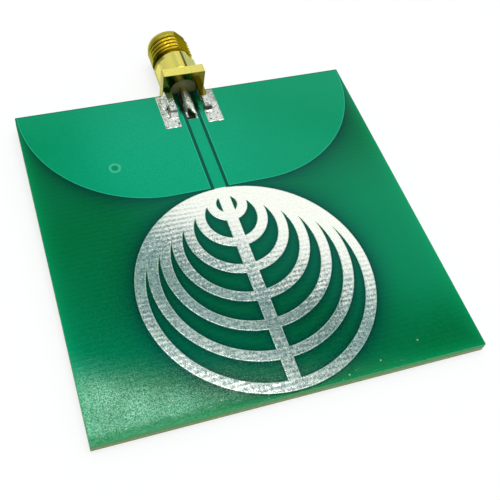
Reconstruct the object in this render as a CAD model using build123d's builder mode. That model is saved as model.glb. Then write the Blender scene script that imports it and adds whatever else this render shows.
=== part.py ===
from build123d import *
import os
from math import cos, radians, sin

os.makedirs("parts", exist_ok=True)

# Printed disc antenna with an edge-launch coaxial jack, in millimetres.
# The origin is on the jack's axis, at its mating plane. +Y points out of the jack's mouth,
# +Z away from the printed side of the board and +X to the right, seen from the board.

# Board: core, copper and lacquer
board_width = 50.0
board_length = 50.0
laminate_thickness = 1.5
copper_thickness = 0.035
mask_thickness = 0.02
# bare margin between lacquer and tinned copper
mask_clearance = 0.05
# copper kept back from the sawn edges
copper_pullback = 0.2
# the printed centre line lies a little left of the board's middle
artwork_offset = -0.1

# Radiator: nested rings that all touch at the disc's rear point, and their stem
disc_radius = 15.5
disc_edge_margin = 0.3
innermost_ring_radius = 2.81
ring_count = 7
ring_width = 1.38
feed_width = 1.65

# Coplanar ground areas beside the feed line
slot_width = 0.5
ground_gap = 0.2
ground_corner_radius = 18.1

# Jack body
mating_bore_depth = 1.9
body_length = 9.87
flange_size = 6.35
flange_thickness = 1.65
flange_edge_break = 0.08
barrel_diameter = 6.3
# wall between the mating bore and the thread's crests
barrel_wall = 0.84
thread_length = 3.05
lead_in_length = 0.9
lead_in_depth = 0.2
mouth_outer_chamfer = 0.1
mouth_inner_chamfer = 0.15
relief_width = 0.4
relief_depth = 0.5
# wall between the bead and the relief groove
bead_wall = 0.59
shoulder_length = 0.5
# flat milled along the barrel: how deep, and where round it
flat_depth = 0.43
flat_angle = 45.0

# Legs that straddle the board
leg_length = 4.0
leg_width = 0.95
leg_height = 1.05
leg_inset = 0.1

# Tinned pads under the legs and under the contact's tail
pad_margin = 0.075
pad_width = 2.35
pad_length = 6.4
feed_pad_length = 5.25

# Bead and centre contact
insulator_setback = 0.3
fit_clearance = 0.01
contact_diameter = 1.27
contact_recess = 0.1
contact_shoulder_cover = 0.9
socket_diameter = 0.94
socket_depth = 2.6
socket_slot_width = 0.15
socket_slot_length = 2.3
pin_diameter = 0.9
pin_tail_length = 4.2

# Solder
pin_lift = 0.1
pin_solder_film = 0.06
pin_solder_start = 0.55
fillet_reach = 0.9
fillet_height = 0.85
# how far a fillet's hollow face bows in from the straight line, as a share of that line
fillet_hollow = 0.18

# Rings step evenly from the disc's edge down to the innermost one
ring_step = (disc_radius - innermost_ring_radius) / (ring_count - 1)

# Diameters of the jack, worked inwards from its barrel
lead_in_diameter = barrel_diameter - 2 * lead_in_depth
mating_bore_diameter = barrel_diameter - 2 * barrel_wall
relief_diameter = barrel_diameter - 2 * relief_depth
bead_bore_diameter = relief_diameter - 2 * bead_wall
insulator_diameter = bead_bore_diameter - 2 * fit_clearance

# Heights, counted from the jack's axis
copper_top_z = -(pin_diameter / 2 + pin_lift)
laminate_top_z = copper_top_z - copper_thickness
laminate_bottom_z = laminate_top_z - laminate_thickness
underside_copper_z = laminate_bottom_z - copper_thickness

# Places along the jack's axis
mouth_y = mating_bore_depth
thread_front_y = mouth_y - lead_in_length
thread_back_y = thread_front_y - thread_length
relief_back_y = thread_back_y - relief_width
neck_y = relief_back_y - shoulder_length
flange_front_y = mouth_y - body_length
flange_back_y = flange_front_y + flange_thickness
insulator_board_y = flange_front_y + insulator_setback
contact_shoulder_y = insulator_board_y + contact_shoulder_cover
pin_end_y = flange_front_y - pin_tail_length

# Places on the board
board_rear_y = flange_front_y
board_front_y = board_rear_y - board_length
board_middle_x = -artwork_offset
copper_rear_y = board_rear_y - copper_pullback
disc_centre_y = board_front_y + disc_edge_margin + disc_radius
disc_rear_y = disc_centre_y + disc_radius
ground_front_y = disc_rear_y + ground_gap
leg_outer_x = flange_size / 2 - leg_inset
leg_inner_x = leg_outer_x - leg_width
pad_inner_x = leg_inner_x - pad_margin

top_face = Plane.XY.offset(laminate_top_z)
bottom_face = Plane.XY.offset(laminate_bottom_z)


def board_outline(plane):
    """The board's rectangle on a plane parallel to it."""
    with BuildSketch(plane) as outline:
        with Locations((board_middle_x, board_rear_y - board_length / 2)):
            Rectangle(board_width, board_length)
    return outline.sketch


def radiator_outline(grow=0.0):
    """Rings and stem, with every edge moved outwards by grow."""
    with BuildSketch(top_face) as outline:
        for ring in range(ring_count):
            outer_radius = disc_radius - ring * ring_step
            with Locations((0, disc_rear_y - outer_radius)):
                Circle(outer_radius + grow)
                Circle(outer_radius - ring_width - grow, mode=Mode.SUBTRACT)
        stem_front_y = disc_rear_y - 2 * disc_radius + ring_width / 2
        with Locations((0, (disc_rear_y + stem_front_y) / 2)):
            Rectangle(feed_width + 2 * grow, disc_rear_y - stem_front_y)
    return outline.sketch


def feed_outline(rear_y, front_y, grow=0.0):
    """A stretch of the feed line, between two places along it, widened by grow."""
    with BuildSketch(top_face) as outline:
        with Locations((0, (rear_y + front_y) / 2)):
            Rectangle(feed_width + 2 * grow, rear_y - front_y)
    return outline.sketch


def ground_outline(side, grow=0.0):
    """One ground area: straight along the slot and in front, round at its outer corner."""
    slot_x = side * (feed_width / 2 + slot_width - grow)
    edge_x = board_middle_x + side * (board_width / 2 - copper_pullback + grow)
    front_y = ground_front_y - grow
    rear_y = copper_rear_y + grow
    corner = min(ground_corner_radius + grow, rear_y - front_y - copper_pullback)
    with BuildSketch(top_face) as outline:
        with Locations(((slot_x + edge_x) / 2, (front_y + rear_y) / 2)):
            Rectangle(abs(edge_x - slot_x), rear_y - front_y)
        front_corners = outline.vertices().group_by(Axis.Y)[0].sort_by(Axis.X)
        fillet(front_corners[0] if side < 0 else front_corners[-1], radius=corner)
    return outline.sketch


def leg_pad_outline(plane, side, grow=0.0):
    """The tinned pad under one leg, widened by grow."""
    with BuildSketch(plane) as outline:
        with Locations((side * (pad_inner_x + pad_width / 2), copper_rear_y - pad_length / 2)):
            Rectangle(pad_width + 2 * grow, pad_length + 2 * grow)
    return outline.sketch


with BuildPart() as laminate:
    extrude(board_outline(bottom_face), amount=laminate_thickness)
laminate.part.label = "laminate"
export_step(laminate.part, "parts/laminate.step")


# One etched piece: the rings with their stem, and the feed line that runs on to the jack
with BuildPart() as radiator:
    extrude(radiator_outline(), amount=copper_thickness)
    extrude(feed_outline(copper_rear_y, disc_rear_y - ring_width / 2), amount=copper_thickness)
radiator.part.label = "radiator"
export_step(radiator.part, "parts/radiator.step")


for side_name, side in (("left", -1), ("right", 1)):
    with BuildPart() as ground:
        extrude(ground_outline(side), amount=copper_thickness)
    ground.part.label = f"ground_{side_name}"
    export_step(ground.part, f"parts/ground_{side_name}.step")

    with BuildPart() as underside_pad:
        extrude(leg_pad_outline(bottom_face, side), amount=-copper_thickness)
    underside_pad.part.label = f"underside_pad_{side_name}"
    export_step(underside_pad.part, f"parts/underside_pad_{side_name}.step")


# Lacquer: one even coat that steps up over the copper, and islands between the rings
with BuildPart() as solder_mask_top:
    extrude(board_outline(top_face), amount=mask_thickness)
    coat_over_copper = copper_thickness + mask_thickness
    for side in (-1, 1):
        extrude(ground_outline(side, mask_thickness), amount=coat_over_copper)
    feed_coat = feed_outline(copper_rear_y + mask_thickness, disc_rear_y, mask_thickness)
    extrude(feed_coat, amount=coat_over_copper)
    for side in (-1, 1):
        extrude(ground_outline(side), amount=copper_thickness, mode=Mode.SUBTRACT)
        extrude(leg_pad_outline(top_face, side), amount=coat_over_copper, mode=Mode.SUBTRACT)
    extrude(feed_outline(copper_rear_y, disc_rear_y), amount=copper_thickness, mode=Mode.SUBTRACT)
    feed_pad = feed_outline(copper_rear_y, copper_rear_y - feed_pad_length, mask_clearance)
    extrude(feed_pad, amount=coat_over_copper, mode=Mode.SUBTRACT)
    extrude(radiator_outline(mask_clearance), amount=coat_over_copper, mode=Mode.SUBTRACT)
solder_mask_top.part.label = "solder_mask_top"
export_step(solder_mask_top.part, "parts/solder_mask_top.step")


with BuildPart() as solder_mask_bottom:
    extrude(board_outline(bottom_face), amount=-mask_thickness)
    for side in (-1, 1):
        window = leg_pad_outline(bottom_face, side, mask_clearance)
        extrude(window, amount=-mask_thickness, mode=Mode.SUBTRACT)
solder_mask_bottom.part.label = "solder_mask_bottom"
export_step(solder_mask_bottom.part, "parts/solder_mask_bottom.step")


# Jack body: turned barrel on a square flange, with four legs milled from the same bar
with BuildPart() as sma_body:
    with BuildSketch(Plane.XZ.offset(-flange_back_y)):
        Rectangle(flange_size, flange_size)
    extrude(amount=flange_thickness)
    flange_sides = sma_body.edges().filter_by(Axis.Y)
    flange_rim = sma_body.faces().sort_by(Axis.Y)[-1].edges()
    chamfer(flange_sides + flange_rim, length=flange_edge_break)
    with BuildSketch(Plane.XY):
        with BuildLine():
            Polyline(
                (0, flange_back_y - flange_edge_break),
                (barrel_diameter / 2, flange_back_y - flange_edge_break),
                (barrel_diameter / 2, neck_y),
                (relief_diameter / 2, relief_back_y),
                (relief_diameter / 2, thread_back_y),
                (barrel_diameter / 2, thread_back_y),
                (barrel_diameter / 2, thread_front_y),
                (lead_in_diameter / 2, thread_front_y + lead_in_depth),
                (lead_in_diameter / 2, mouth_y - mouth_outer_chamfer),
                (lead_in_diameter / 2 - mouth_outer_chamfer, mouth_y),
                (0, mouth_y),
                close=True,
            )
        make_face()
    revolve(axis=Axis.Y)
    # flat along the whole barrel
    with BuildSketch(Plane.XZ.offset(-mouth_y)):
        with PolarLocations(barrel_diameter / 2, 1, start_angle=flat_angle):
            Rectangle(2 * flat_depth, barrel_diameter)
    extrude(amount=mouth_y - flange_back_y, mode=Mode.SUBTRACT)
    # legs: the upper pair stands on the copper, the lower pair grips from below
    leg_levels = (copper_top_z + leg_height / 2, underside_copper_z - leg_height / 2)
    leg_centre_x = leg_outer_x - leg_width / 2
    with BuildSketch(Plane.XZ.offset(-flange_front_y)):
        with Locations(*[(side * leg_centre_x, level) for side in (-1, 1) for level in leg_levels]):
            Rectangle(leg_width, leg_height)
    extrude(amount=leg_length)
    # stepped bore: wide at the mouth for the mating plug, narrower for the bead
    with BuildSketch(Plane.XY):
        with BuildLine():
            Polyline(
                (0, flange_front_y),
                (bead_bore_diameter / 2, flange_front_y),
                (bead_bore_diameter / 2, 0),
                (mating_bore_diameter / 2, 0),
                (mating_bore_diameter / 2, mouth_y - mouth_inner_chamfer),
                (mating_bore_diameter / 2 + mouth_inner_chamfer, mouth_y),
                (0, mouth_y),
                close=True,
            )
        make_face()
    revolve(axis=Axis.Y, mode=Mode.SUBTRACT)
sma_body.part.label = "sma_body"
export_step(sma_body.part, "parts/sma_body.step")


# Bead with a stepped hole that holds the contact by its shoulder
with BuildPart() as sma_insulator:
    with BuildSketch(Plane.XY):
        with BuildLine():
            Polyline(
                (contact_diameter / 2 + fit_clearance, 0),
                (insulator_diameter / 2, 0),
                (insulator_diameter / 2, insulator_board_y),
                (pin_diameter / 2 + fit_clearance, insulator_board_y),
                (pin_diameter / 2 + fit_clearance, contact_shoulder_y),
                (contact_diameter / 2 + fit_clearance, contact_shoulder_y),
                close=True,
            )
        make_face()
    revolve(axis=Axis.Y)
sma_insulator.part.label = "sma_insulator"
export_step(sma_insulator.part, "parts/sma_insulator.step")


# Centre contact: slotted socket at the mouth end, solder tail at the board end
with BuildPart() as sma_contact:
    socket_mouth_y = -contact_recess
    with BuildSketch(Plane.XY):
        with BuildLine():
            Polyline(
                (0, pin_end_y),
                (pin_diameter / 2, pin_end_y),
                (pin_diameter / 2, contact_shoulder_y),
                (contact_diameter / 2, contact_shoulder_y),
                (contact_diameter / 2, socket_mouth_y),
                (socket_diameter / 2, socket_mouth_y),
                (socket_diameter / 2, socket_mouth_y - socket_depth),
                (0, socket_mouth_y - socket_depth),
                close=True,
            )
        make_face()
    revolve(axis=Axis.Y)
    with BuildSketch(Plane.XZ.offset(-socket_mouth_y)):
        Rectangle(contact_diameter, socket_slot_width, rotation=45)
        Rectangle(contact_diameter, socket_slot_width, rotation=-45)
    extrude(amount=socket_slot_length, mode=Mode.SUBTRACT)
sma_contact.part.label = "sma_contact"
export_step(sma_contact.part, "parts/sma_contact.step")


# Solder ridge over the tail: hollow flanks from the feed line up to a round back
with BuildPart() as pin_solder:
    back_radius = pin_diameter / 2 + pin_solder_film
    flank_angle = radians(15)
    flank_top = (back_radius * cos(flank_angle), back_radius * sin(flank_angle))
    flank_foot = (feed_width / 2, copper_top_z)
    flank_middle = (
        (flank_top[0] + flank_foot[0]) / 2 - fillet_hollow * (flank_top[1] - flank_foot[1]),
        (flank_top[1] + flank_foot[1]) / 2 - fillet_hollow * (flank_foot[0] - flank_top[0]),
    )
    with BuildSketch(Plane.XZ.offset(pin_solder_start - flange_front_y)) as ridge_section:
        with BuildLine():
            Line((0, copper_top_z), flank_foot)
            ThreePointArc(flank_foot, flank_middle, flank_top)
            RadiusArc(flank_top, (0, back_radius), -back_radius)
            Line((0, back_radius), (0, copper_top_z))
        make_face()
        mirror(about=Plane.YZ)
    extrude(amount=pin_tail_length - pin_solder_start)
    # rounded nose beyond the tail's end
    with BuildSketch(Plane.XZ.offset(-pin_end_y)):
        with BuildLine():
            Line((0, copper_top_z), flank_foot)
            ThreePointArc(flank_foot, flank_middle, flank_top)
            RadiusArc(flank_top, (0, back_radius), -back_radius)
            Line((0, back_radius), (0, copper_top_z))
        make_face()
    revolve(axis=Axis((0, pin_end_y, 0), (0, 0, 1)))
    with BuildSketch(Plane.XZ.offset(-flange_front_y)):
        Circle(pin_diameter / 2)
    extrude(amount=pin_tail_length, mode=Mode.SUBTRACT)
pin_solder.part.label = "pin_solder"
export_step(pin_solder.part, "parts/pin_solder.step")


# Solder fillets round each leg: along its outer side, round the corner and across its end
leg_end_y = flange_front_y - leg_length
for side_name, side in (("left", -1), ("right", 1)):
    for level_name, pad_z, up in (("top", copper_top_z, 1), ("bottom", underside_copper_z, -1)):
        bow = fillet_hollow * (fillet_reach + fillet_height) / 2
        hollow = (fillet_reach / 2 - bow, fillet_height / 2 - bow)
        outer_x = side * leg_outer_x
        with BuildPart() as leg_solder:
            with BuildSketch(Plane.XZ.offset(-flange_front_y)):
                with BuildLine():
                    foot = (outer_x, pad_z)
                    toe = (outer_x + side * fillet_reach, pad_z)
                    crest = (outer_x, pad_z + up * fillet_height)
                    waist = (outer_x + side * hollow[0], pad_z + up * hollow[1])
                    Line(foot, toe)
                    ThreePointArc(toe, waist, crest)
                    Line(crest, foot)
                make_face()
            extrude(amount=leg_length)
            with BuildSketch(Plane.XZ.offset(-leg_end_y)):
                with BuildLine():
                    Line(foot, toe)
                    ThreePointArc(toe, waist, crest)
                    Line(crest, foot)
                make_face()
            revolve(axis=Axis((outer_x, leg_end_y, 0), (0, 0, 1)))
            with BuildSketch(Plane.YZ.offset(outer_x)):
                with BuildLine():
                    front_foot = (leg_end_y, pad_z)
                    front_toe = (leg_end_y - fillet_reach, pad_z)
                    front_crest = (leg_end_y, pad_z + up * fillet_height)
                    front_waist = (leg_end_y - hollow[0], pad_z + up * hollow[1])
                    Line(front_foot, front_toe)
                    ThreePointArc(front_toe, front_waist, front_crest)
                    Line(front_crest, front_foot)
                make_face()
            extrude(amount=-side * leg_width)
            with BuildSketch(Plane.XZ.offset(-flange_front_y)):
                with Locations((side * leg_centre_x, pad_z + up * leg_height / 2)):
                    Rectangle(leg_width, leg_height)
            extrude(amount=leg_length, mode=Mode.SUBTRACT)
        leg_solder.part.label = f"leg_solder_{level_name}_{side_name}"
        export_step(leg_solder.part, f"parts/leg_solder_{level_name}_{side_name}.step")
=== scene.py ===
from math import acos, atan2, cos, hypot, pi, radians, sin, tan

import bpy
from mathutils import Matrix, Vector, noise


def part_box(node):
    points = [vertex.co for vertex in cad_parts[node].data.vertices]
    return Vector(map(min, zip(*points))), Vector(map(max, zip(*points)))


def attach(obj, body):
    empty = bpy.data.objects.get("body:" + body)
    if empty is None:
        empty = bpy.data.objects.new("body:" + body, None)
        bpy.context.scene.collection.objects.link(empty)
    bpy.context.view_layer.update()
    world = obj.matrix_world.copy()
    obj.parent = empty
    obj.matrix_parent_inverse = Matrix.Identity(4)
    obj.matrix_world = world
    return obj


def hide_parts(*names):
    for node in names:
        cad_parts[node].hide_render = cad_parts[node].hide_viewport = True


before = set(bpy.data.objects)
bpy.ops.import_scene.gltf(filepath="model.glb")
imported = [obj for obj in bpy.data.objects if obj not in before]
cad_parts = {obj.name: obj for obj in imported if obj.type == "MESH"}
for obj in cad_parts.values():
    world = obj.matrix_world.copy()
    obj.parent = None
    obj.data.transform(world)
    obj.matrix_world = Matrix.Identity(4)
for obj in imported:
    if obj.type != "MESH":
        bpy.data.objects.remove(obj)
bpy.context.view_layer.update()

# One millimetre in the scene's metres
MM = 0.001


def box_mm(node):
    """A solid's lowest and highest corners, in millimetres."""
    low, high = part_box(node)
    return low / MM, high / MM


# Places read from the frame, in millimetres
board_low, board_high = box_mm("laminate")
lacquer_low, lacquer_high = box_mm("solder_mask_top")
radiator_low, radiator_high = box_mm("radiator")
ground_low, ground_high = box_mm("ground_right")
pad_low, pad_high = box_mm("underside_pad_right")
body_low, body_high = box_mm("sma_body")
ridge_high = box_mm("pin_solder")[1]
contact_low = box_mm("sma_contact")[0]

copper_top_z = radiator_high.z
disc_radius = (radiator_high.x - radiator_low.x) / 2
disc_front_y = radiator_low.y
disc_rear_y = disc_front_y + 2 * disc_radius
board_middle_x = (board_low.x + board_high.x) / 2

# Artwork of the radiator and ground areas
ring_count = 7
innermost_ring_radius = 2.81
ring_width = 1.38
feed_width = 1.65
ring_step = (disc_radius - innermost_ring_radius) / (ring_count - 1)
ground_corner_radius = 18.1
slot_edge_x = ground_low.x

# Jack: diameters and places along its axis
mouth_y = body_high.y
flange_half = body_high.x
flange_front_y = board_high.y
flange_thickness = 1.65
flange_back_y = flange_front_y + flange_thickness
edge_break = 0.08
barrel_radius = 3.15
bore_radius = 2.31
bead_bore_radius = 2.06
lead_in_radius = 2.95
relief_radius = 2.65
thread_front_y = 1.0
thread_back_y = -2.05
relief_back_y = -2.45
neck_y = -2.95
flat_distance = 2.72
flat_angle = radians(45)
flat_edge_x = barrel_radius * cos(flat_angle + acos(flat_distance / barrel_radius))
thread_pitch = 0.7056
thread_depth = 0.4
# where the first crest crosses the top of the barrel
crest_y = 0.14
# the grooves run out before the lead-in
last_groove_y = 0.80
leg_width = 0.95
leg_height = 1.05
leg_end_y = body_low.y
leg_outer_x = 3.075
tail_radius = 0.45
tail_film = 0.05
feed_pad_length = 5.25
feed_pad_front_y = pad_high.y - feed_pad_length
lacquer_thickness = 0.02
ply_thickness = 0.19


# Shading: a short way to write the nodes of a material or the world
class NodeTree:
    """A tree of nodes, whose expressions are sockets or plain numbers."""

    def __init__(self, tree, coordinates):
        self.nodes = tree.nodes
        self.links = tree.links
        self.nodes.clear()
        self.place = self.nodes.new("ShaderNodeTexCoord").outputs[coordinates]

    def put(self, socket, value):
        """Links a socket to another one, or sets its value."""
        if isinstance(value, bpy.types.NodeSocket):
            self.links.new(value, socket)
        else:
            socket.default_value = value

    def split(self, vector):
        node = self.nodes.new("ShaderNodeSeparateXYZ")
        self.put(node.inputs[0], vector)
        return node.outputs[0], node.outputs[1], node.outputs[2]

    def join(self, x, y, z):
        node = self.nodes.new("ShaderNodeCombineXYZ")
        for socket, value in zip(node.inputs, (x, y, z)):
            self.put(socket, value)
        return node.outputs[0]

    def scale_vector(self, vector, factor):
        node = self.nodes.new("ShaderNodeVectorMath")
        node.operation = "SCALE"
        self.put(node.inputs[0], vector)
        self.put(node.inputs["Scale"], factor)
        return node.outputs[0]

    def stretch(self, x_factor, y_factor, z_factor):
        """The place on the surface, in millimetres, stretched along each axis."""
        node = self.nodes.new("ShaderNodeVectorMath")
        node.operation = "MULTIPLY"
        self.put(node.inputs[0], self.place)
        node.inputs[1].default_value = (x_factor, y_factor, z_factor)
        return node.outputs[0]

    def math(self, operation, *values):
        node = self.nodes.new("ShaderNodeMath")
        node.operation = operation
        for socket, value in zip(node.inputs, values):
            self.put(socket, value)
        return node.outputs[0]

    def add(self, a, b):
        return self.math("ADD", a, b)

    def sub(self, a, b):
        return self.math("SUBTRACT", a, b)

    def mul(self, a, b):
        return self.math("MULTIPLY", a, b)

    def div(self, a, b):
        return self.math("DIVIDE", a, b)

    def low(self, a, b):
        return self.math("MINIMUM", a, b)

    def high(self, a, b):
        return self.math("MAXIMUM", a, b)

    def all_of(self, first, *others):
        """Where several masks meet: their product."""
        for other in others:
            first = self.mul(first, other)
        return first

    def size_of(self, value):
        """A value without its sign."""
        return self.math("ABSOLUTE", value)

    def diagonal(self, a, b):
        """The long side of a right triangle with the sides a and b."""
        return self.math("SQRT", self.add(self.mul(a, a), self.mul(b, b)))

    def halving(self, distance, length):
        """1 at distance 0, and half as much for each length further off."""
        return self.math("POWER", 0.5, self.div(distance, length))

    def level(self, mask, at_none, at_full):
        """A number that goes from one value where the mask is 0 to another where it is 1."""
        return self.add(at_none, self.mul(mask, at_full - at_none))

    def ragged(self, value, noise, amount):
        """A value moved by so much of a noise."""
        return self.add(value, self.mul(noise, amount))

    def fade(self, value, start, end, at_start=0.0, at_end=1.0):
        """0 at start, 1 at end, smooth between; start may lie above end."""
        node = self.nodes.new("ShaderNodeMapRange")
        node.interpolation_type = "SMOOTHSTEP"
        for socket, number in zip(node.inputs, (value, start, end, at_start, at_end)):
            self.put(socket, number)
        return node.outputs[0]

    def near(self, value, middle, outer, inner):
        """1 where a value lies within inner of the middle, 0 beyond outer."""
        return self.fade(self.size_of(self.sub(value, middle)), outer, inner)

    def noise(self, scale, detail=2.0, vector=None, roughness=0.5):
        """Noise from 0 to 1 with that many lumps to the millimetre."""
        node = self.nodes.new("ShaderNodeTexNoise")
        self.put(node.inputs["Vector"], self.place if vector is None else vector)
        node.inputs["Scale"].default_value = scale
        node.inputs["Detail"].default_value = detail
        node.inputs["Roughness"].default_value = roughness
        return node.outputs[0]

    def cells(self, scale):
        """Distance to the nearest of scattered points, with that many to the millimetre."""
        node = self.nodes.new("ShaderNodeTexVoronoi")
        self.put(node.inputs["Vector"], self.place)
        node.inputs["Scale"].default_value = scale
        return node.outputs["Distance"]

    def mix(self, factor, a, b):
        """Colour a at factor 0 and b at 1."""
        node = self.nodes.new("ShaderNodeMix")
        node.data_type = "RGBA"
        self.put(node.inputs["Factor"], factor)
        for socket, colour in ((node.inputs[6], a), (node.inputs[7], b)):
            self.put(socket, (*colour, 1.0) if isinstance(colour, tuple) else colour)
        return node.outputs[2]

    def paint(self, under, mask, strength, colour):
        """A colour laid over another where the mask is, as strong as said."""
        return self.mix(self.mul(mask, strength), under, colour)

    def blend(self, factor, first, second):
        """Two shaders: the first at factor 0 and the second at 1."""
        node = self.nodes.new("ShaderNodeMixShader")
        for socket, value in zip(node.inputs, (factor, first, second)):
            self.put(socket, value)
        return node.outputs[0]


class Shader(NodeTree):
    """A material, shaded by its place on the part in millimetres; the last call sets its surface."""

    def __init__(self, name):
        self.material = bpy.data.materials.new(name)
        self.material.use_nodes = True
        super().__init__(self.material.node_tree, "Object")
        self.output = self.nodes.new("ShaderNodeOutputMaterial")
        self.place = self.scale_vector(self.place, 1 / MM)
        self.x, self.y, self.z = self.split(self.place)

    def distance_to(self, x, y):
        """Distance along the board to a point of it."""
        return self.diagonal(self.sub(self.x, x), self.sub(self.y, y))

    def bump(self, height, depth, normal=None):
        """A normal for a height from 0 to 1, where 1 stands depth millimetres up."""
        node = self.nodes.new("ShaderNodeBump")
        node.inputs["Strength"].default_value = 1.0
        node.inputs["Distance"].default_value = depth * MM
        self.put(node.inputs["Height"], height)
        if normal is not None:
            self.put(node.inputs["Normal"], normal)
        return node.outputs[0]

    def tilt(self, scale, amount, normal):
        """A normal that tilts a little its own way in each of the scattered cells."""
        cells = self.nodes.new("ShaderNodeTexVoronoi")
        cells.inputs["Scale"].default_value = scale
        self.put(cells.inputs["Vector"], self.place)
        red, green, _ = self.split(cells.outputs["Color"])
        lean = self.join(self.sub(red, 0.5), self.sub(green, 0.5), 0.0)
        total = self.nodes.new("ShaderNodeVectorMath")
        self.put(total.inputs[0], normal)
        self.put(total.inputs[1], self.scale_vector(lean, amount))
        unit = self.nodes.new("ShaderNodeVectorMath")
        unit.operation = "NORMALIZE"
        self.put(unit.inputs[0], total.outputs[0])
        return unit.outputs[0]

    def round_edges(self, radius):
        """A normal that rolls over the mesh's sharp edges."""
        node = self.nodes.new("ShaderNodeBevel")
        node.samples = 6
        node.inputs["Radius"].default_value = radius * MM
        return node.outputs[0]

    def surface(self, **settings):
        """Principled surface; names are its inputs with underscores for spaces."""
        node = self.nodes.new("ShaderNodeBsdfPrincipled")
        for name, value in settings.items():
            value = (*value, 1.0) if isinstance(value, tuple) else value
            self.put(node.inputs[name.replace("_", " ")], value)
        self.links.new(node.outputs[0], self.output.inputs["Surface"])
        return self.material


# Distances to the artwork, in millimetres, for shaders: below 0 is inside
def distance_to_radiator(s):
    """Distance to the nearest ring or to the stem."""
    distance = s.high(s.sub(s.size_of(s.x), feed_width / 2), s.sub(s.y, disc_rear_y))
    distance = s.high(distance, s.sub(disc_front_y + ring_width / 2, s.y))
    for ring in range(ring_count):
        outer_radius = disc_radius - ring * ring_step
        from_centre = s.distance_to(0.0, disc_rear_y - outer_radius)
        from_middle = s.size_of(s.sub(from_centre, outer_radius - ring_width / 2))
        distance = s.low(distance, s.sub(from_middle, ring_width / 2))
    return distance


def distance_to_grounds(s):
    """Distance to the ground areas: straight at the slots, round at the outer corners."""
    corner_x = ground_high.x - board_middle_x - ground_corner_radius
    corner_y = ground_low.y + ground_corner_radius
    across = s.high(s.sub(s.size_of(s.sub(s.x, board_middle_x)), corner_x), 0.0)
    along = s.high(s.sub(corner_y, s.y), 0.0)
    outside = s.sub(s.diagonal(across, along), ground_corner_radius)
    return s.high(outside, s.sub(slot_edge_x, s.size_of(s.x)))


def distance_to_feed(s):
    """Distance to the feed line behind the disc."""
    beside = s.sub(s.size_of(s.x), feed_width / 2)
    return s.high(beside, s.sub(disc_rear_y, s.y))


def near_sawn_edge(s):
    """1 at the board's sawn edge, and half as much for each 0.75 mm in from it."""
    beside = s.low(s.sub(s.x, board_low.x), s.sub(board_high.x, s.x))
    ahead = s.low(s.sub(s.y, board_low.y), s.sub(board_high.y, s.y))
    return s.halving(s.low(beside, ahead), 0.75)


# Glass cloth under the lacquer and the copper: threads across and along, over and under
cloth_pitch_x = 0.56
cloth_pitch_y = 0.72


def cloth(s):
    """Height of the woven glass cloth that prints through, about 0 to 1."""
    wander = s.mul(s.noise(0.3, 1.0), 0.5)
    wave_x = s.math("SINE", s.mul(s.add(s.x, wander), 2 * pi / cloth_pitch_x))
    wave_y = s.math("SINE", s.mul(s.add(s.y, wander), 2 * pi / cloth_pitch_y))
    return s.add(0.5, s.add(s.mul(wave_x, 0.06), s.mul(wave_y, 0.40)))


# Colours that several materials share
lacquer_deep = (0.0003, 0.107, 0.018)
lacquer_on_threads = (0.001, 0.18, 0.05)
lacquer_lit = (0.002, 0.300, 0.090)
# dark of flux, also used for painted shade on the solder
dark_flux_and_shade = (0.008, 0.014, 0.007)

# Gloss of the lacquer: its strength and tint, and its paler and sandy tints where it was handled
lacquer_shine = 0.75
lacquer_gloss = (0.0, 1.0, 0.86)
handled_gloss = (0.34, 1.0, 0.84)
sandy_gloss = (0.56, 1.0, 0.74)

# Marks that stand at one place each, in millimetres
sheen_x = -7.0
sheen_y = -21.0
ring_mark_x = -13.25
ring_mark_y = disc_rear_y + 6.6
ring_mark_radius = 0.68
slot_middle_x = 1.05
# the spangle of the tin and its painted dark reflection show towards the point below the camera
under_camera_x = -28.7
under_camera_y = -89.9
# from the board's front left corner
handled_spots = ((2.7, 5.5), (6.5, 3.5), (10.9, 2.7))
lacquer_chips = ((41.7, 2.75), (36.0, 1.35), (31.5, 0.55))
# burnt spots on the pads' solder, each with its reach
solder_burns = (
    (-2.65, -9.5, 0.36),
    (-3.3, -11.1, 0.34),
    (-2.3, -13.9, 0.22),
    (2.55, -14.0, 0.20),
)
# marks that fade in: none at the first place, all there at the second
# painted light over the right half of the lacquer
lit_right_x = (8.0, 24.0)
lit_right_from_front_y = (-57.0, -47.0)
lit_right_from_rear_y = (-20.0, -34.0)
# painted shadow of the jack beside the contact's joint, with burnt flux
slot_flux_and_shadow_y = (-13.0, -11.4)
# painted shadow of the flange between the legs
flange_shadow_x = (2.5, 1.9)
flange_shadow_y = (-11.2, -9.6)
dull_x = (2.95, 3.15)
dull_y = (-11.3, -10.5)
ridge_rear_y = (-10.6, -9.4)
ridge_foot_y = (-11.0, -10.4)
ridge_end_y = (-11.45, -11.85)
ridge_front_y = (-12.90, -13.05)
# painted dark reflection on the left of the relief groove
relief_dark_y = (-3.5, -3.1)


# Materials
def orange_peel(s, weave):
    """Gloss of cured lacquer: its roughness, stippled, and its normal over the woven cloth."""
    grain = s.noise(6.5, 3.0, roughness=0.75)
    height = s.add(s.mul(weave, 0.30), s.mul(grain, 0.70))
    stipple = s.level(s.fade(s.noise(5.0, 4.0, roughness=0.8), 0.42, 0.62), 0.05, 0.27)
    return stipple, s.bump(height, 0.0032)


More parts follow.
